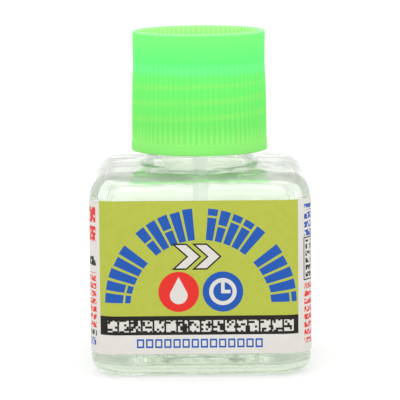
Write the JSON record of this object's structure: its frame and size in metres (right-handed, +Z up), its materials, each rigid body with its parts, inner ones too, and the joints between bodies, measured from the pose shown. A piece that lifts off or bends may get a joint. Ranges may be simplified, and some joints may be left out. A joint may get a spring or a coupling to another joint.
{
  "type": "glue bottle",
  "caption": "Square glass bottle of liquid cement with a wrap-round paper label and a ribbed screw cap that holds a fine brush.",
  "frame": {"origin": "centre of the base, on the surface that the bottle stands on", "axes": "+Z up along the neck, +X to the right of someone facing the front of the label, -Y out of the front of the label"},
  "size_m": [0.044, 0.044, 0.0674],
  "materials": {
    "glass": "polished",
    "label_paper": "satin",
    "cement": "polished",
    "liner_foam": "matte",
    "cap_plastic": "satin",
    "stem_plastic": "satin",
    "bristle": "satin",
    "staple_wire": "satin"
  },
  "bodies": {
    "bottle": {"glass_bottle": "glass", "label": "label_paper", "cement": "cement"},
    "liner": {"liner": "liner_foam"},
    "cap": {"cap_shell": "cap_plastic", "brush_stem": "stem_plastic", "bristle_tuft": "bristle", "staple": "staple_wire"}
  },
  "joints": [
    {"name": "cap_rise", "type": "slide", "parent": "bottle", "child": "liner", "axis": [0, 0, 1], "range_m": [0, 0.0572]},
    {"name": "cap_turn", "type": "hinge", "parent": "liner", "child": "cap", "pos_m": [0, 0, 0.0592], "axis": [0, 0, 1], "range_deg": [0, 6480]}
  ],
  "couplings": [
    {"joint": "cap_rise", "follows": "cap_turn", "m_per_rad": 0.00050532}
  ]
}
